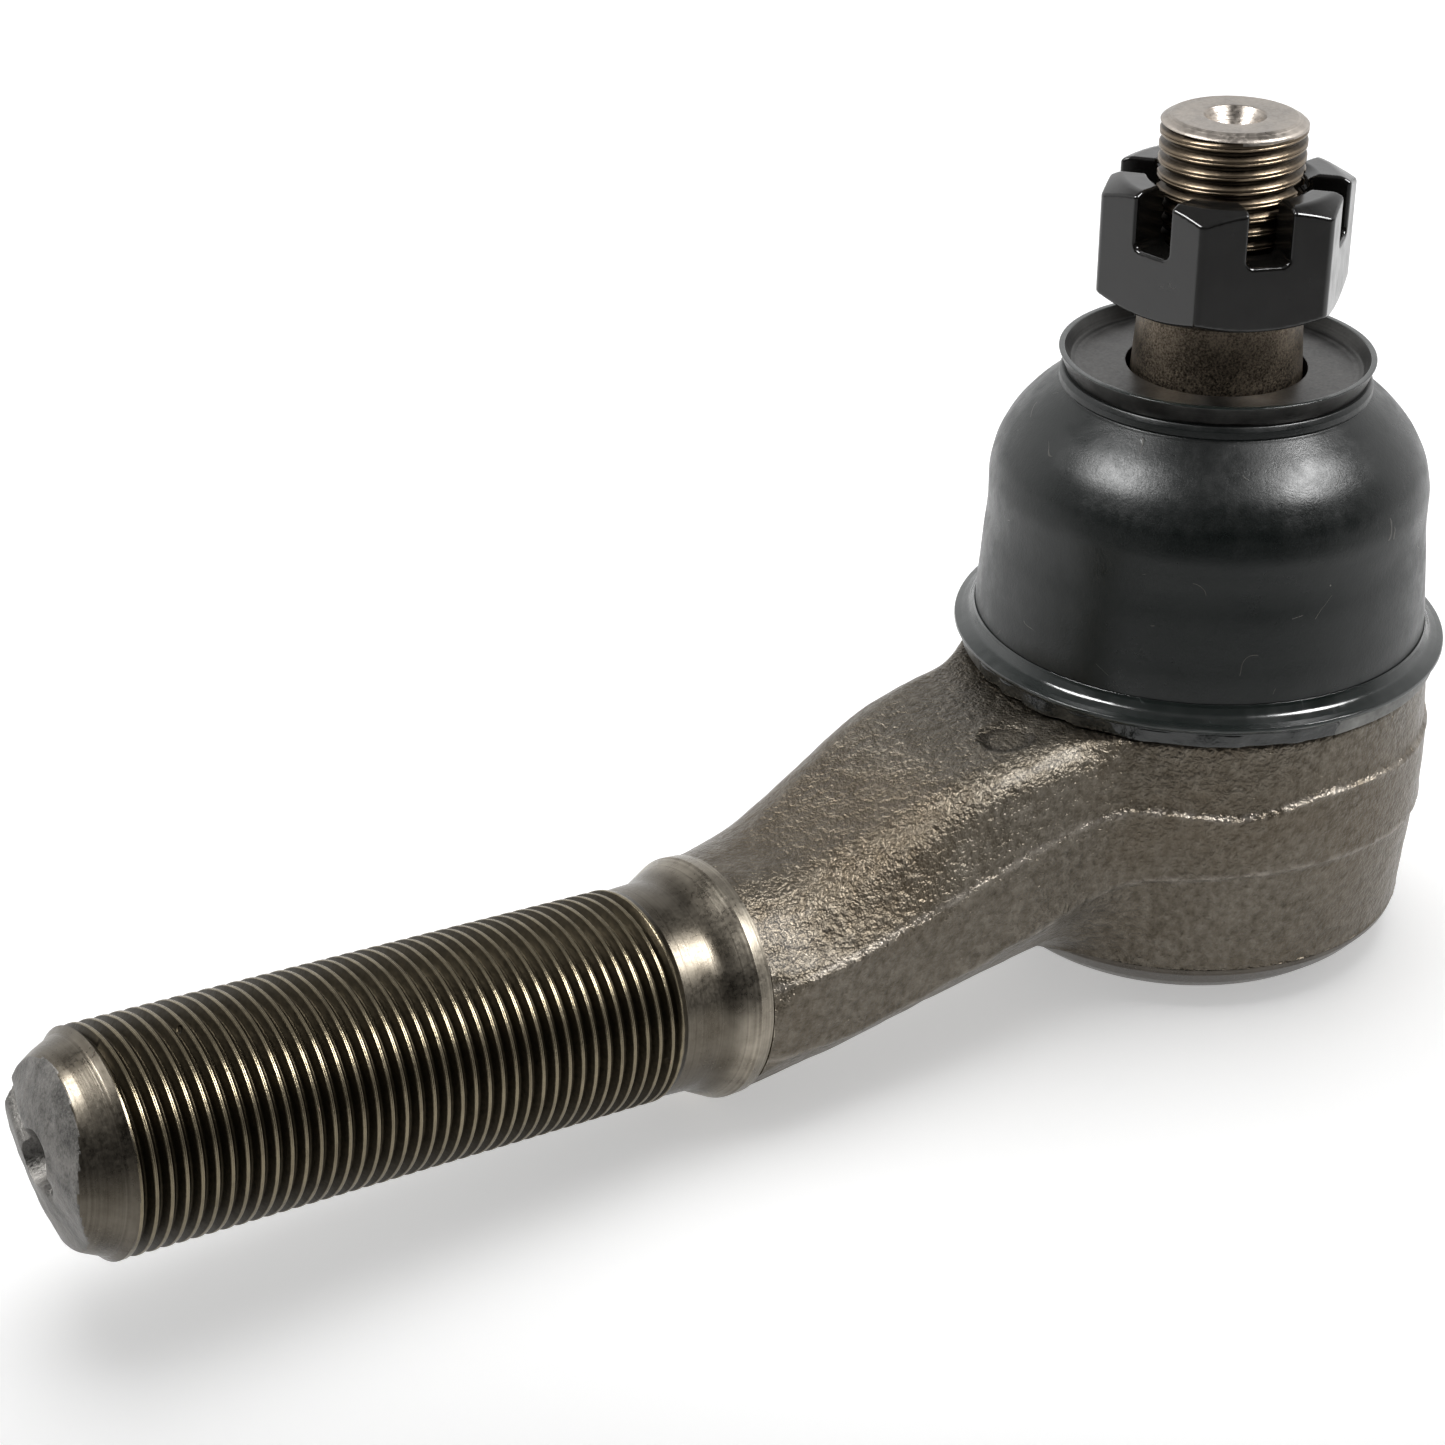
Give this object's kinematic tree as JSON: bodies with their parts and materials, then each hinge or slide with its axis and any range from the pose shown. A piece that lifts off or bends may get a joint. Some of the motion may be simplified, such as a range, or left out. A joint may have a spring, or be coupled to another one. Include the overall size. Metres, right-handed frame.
{
  "type": "tie rod end",
  "caption": "Steering joint: a forged eye and threaded shank holding a sprung ball stud under a rubber boot, with a taper, a thread and a slotted nut.",
  "frame": {"origin": "on the stud axis in the plane of the boot cup's rim, where the steering arm's eye seats on the taper", "axes": "+Z along the stud axis towards the stud's tip; the threaded shank runs towards -X in the XZ plane, rising 5.5 degrees towards its tip"},
  "size_m": [0.1565, 0.05, 0.0868],
  "materials": {
    "forged_steel": "forged skin, oiled, grey-brown",
    "machined_steel": "turned, satin, grey-brown",
    "stud_steel": "phosphated and oiled",
    "nut_steel": "gloss black",
    "black_steel": "gloss black",
    "cup_steel": "satin black",
    "boot_rubber": "smooth satin black",
    "nylon": "natural nylon, greased",
    "spring_steel": "oiled spring steel"
  },
  "bodies": {
    "root": {"housing": "forged_steel", "upper_seat": "nylon", "lower_seat": "nylon", "preload_spring": "spring_steel", "cover_plate": "machined_steel", "boot_retaining_ring": "black_steel"},
    "boot": {"dust_boot": "boot_rubber"},
    "boot_top": {"boot_cup": "cup_steel"},
    "stud": {"ball_stud": "stud_steel"},
    "nut": {"slotted_nut": "nut_steel"}
  },
  "joints": [
    {"name": "stud_tilt_x", "type": "hinge", "parent": "root", "child": "boot", "pos_m": [0, 0, -0.0428], "axis": [1, 0, 0], "range_deg": [-18, 18], "deforming": ["dust_boot"]},
    {"name": "stud_tilt_y", "type": "hinge", "parent": "boot", "child": "boot_top", "pos_m": [0, 0, -0.0428], "axis": [0, 1, 0], "range_deg": [-18, 18]},
    {"name": "stud_spin", "type": "hinge", "parent": "boot_top", "child": "stud", "pos_m": [0, 0, -0.0428], "axis": [0, 0, 1], "continuous": true},
    {"name": "nut_turn", "type": "hinge", "parent": "stud", "child": "nut", "pos_m": [0, 0, 0.0119], "axis": [0, 0, 1], "continuous": true}
  ]
}
